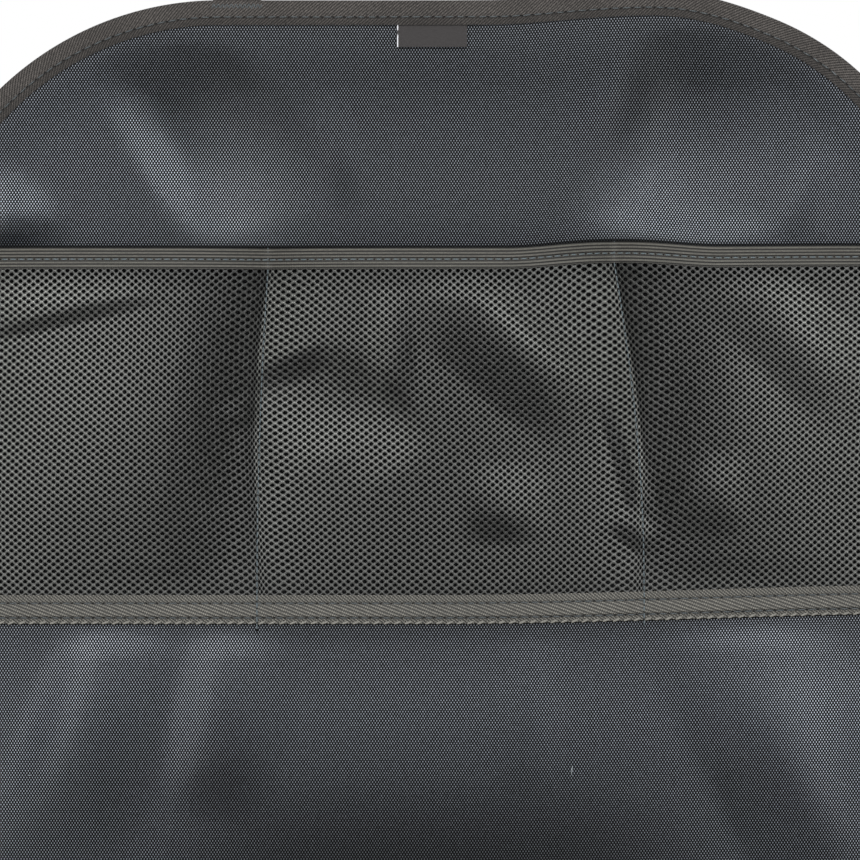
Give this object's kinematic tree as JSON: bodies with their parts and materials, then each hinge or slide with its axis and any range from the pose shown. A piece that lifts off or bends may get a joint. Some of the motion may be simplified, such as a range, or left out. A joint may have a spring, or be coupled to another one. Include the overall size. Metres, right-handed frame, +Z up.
{
  "type": "car seat-back organizer",
  "caption": "Hanging car organizer: a bound woven panel with round shoulders, a row of mesh pockets under a hem tape, and webbing loops at the top.",
  "frame": {"origin": "midway between the two hanging loops, under the inner crowns that carry the part", "axes": "+X across the panel to the viewer's right, -Y out of its front, +Z up along its height"},
  "size_m": [0.45, 0.0285, 0.6553],
  "materials": {
    "woven_panel": "coarse coated plain weave, slight satin sheen",
    "edge_binding": "matt twill tape",
    "mesh": "knitted mesh, slightly shiny yarn",
    "ribbed_tape": "ribbed tape",
    "twill_tape": "twill tape",
    "webbing": "matt twill webbing",
    "tag": "plain satin-woven tag"
  },
  "bodies": {
    "root": {"main_panel": "woven_panel", "edge_binding": "edge_binding", "pocket_mesh": "mesh", "pocket_hem_tape": "ribbed_tape", "pocket_base_tape": "twill_tape", "hanging_strap_left": "webbing", "hanging_strap_right": "webbing", "label_tag": "tag"}
  },
  "joints": []
}
